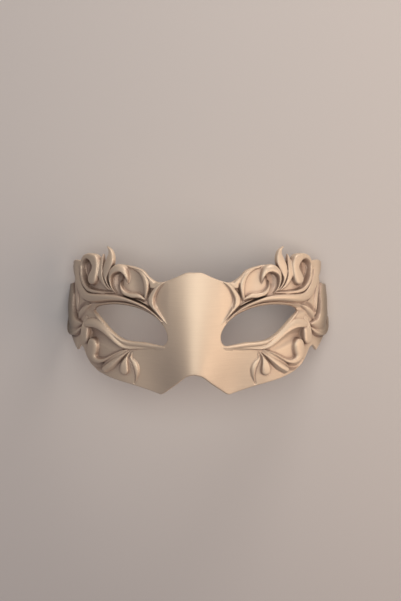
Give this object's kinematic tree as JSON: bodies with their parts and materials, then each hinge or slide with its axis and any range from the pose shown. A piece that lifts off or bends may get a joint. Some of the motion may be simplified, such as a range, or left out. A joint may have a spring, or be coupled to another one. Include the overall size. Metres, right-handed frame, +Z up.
{
  "type": "masquerade mask",
  "caption": "Half mask for the upper face, cast in one thin shell with two eye holes, a ridge for the nose, acanthus scrolls in relief and side wings that wrap round the temples.",
  "frame": {"origin": "middle of the bounding box, on the surface that the mask lies on", "axes": "+Z up, out of the front of the face, +Y towards the forehead, +X towards the wearer's left; the mask lies face up on the rear ends of its wings"},
  "size_m": [0.1732, 0.0884, 0.0731],
  "materials": {
    "mask": "satin ivory paint with fine brush marks, on cast resin"
  },
  "bodies": {
    "root": {"mask": "mask"}
  },
  "joints": []
}
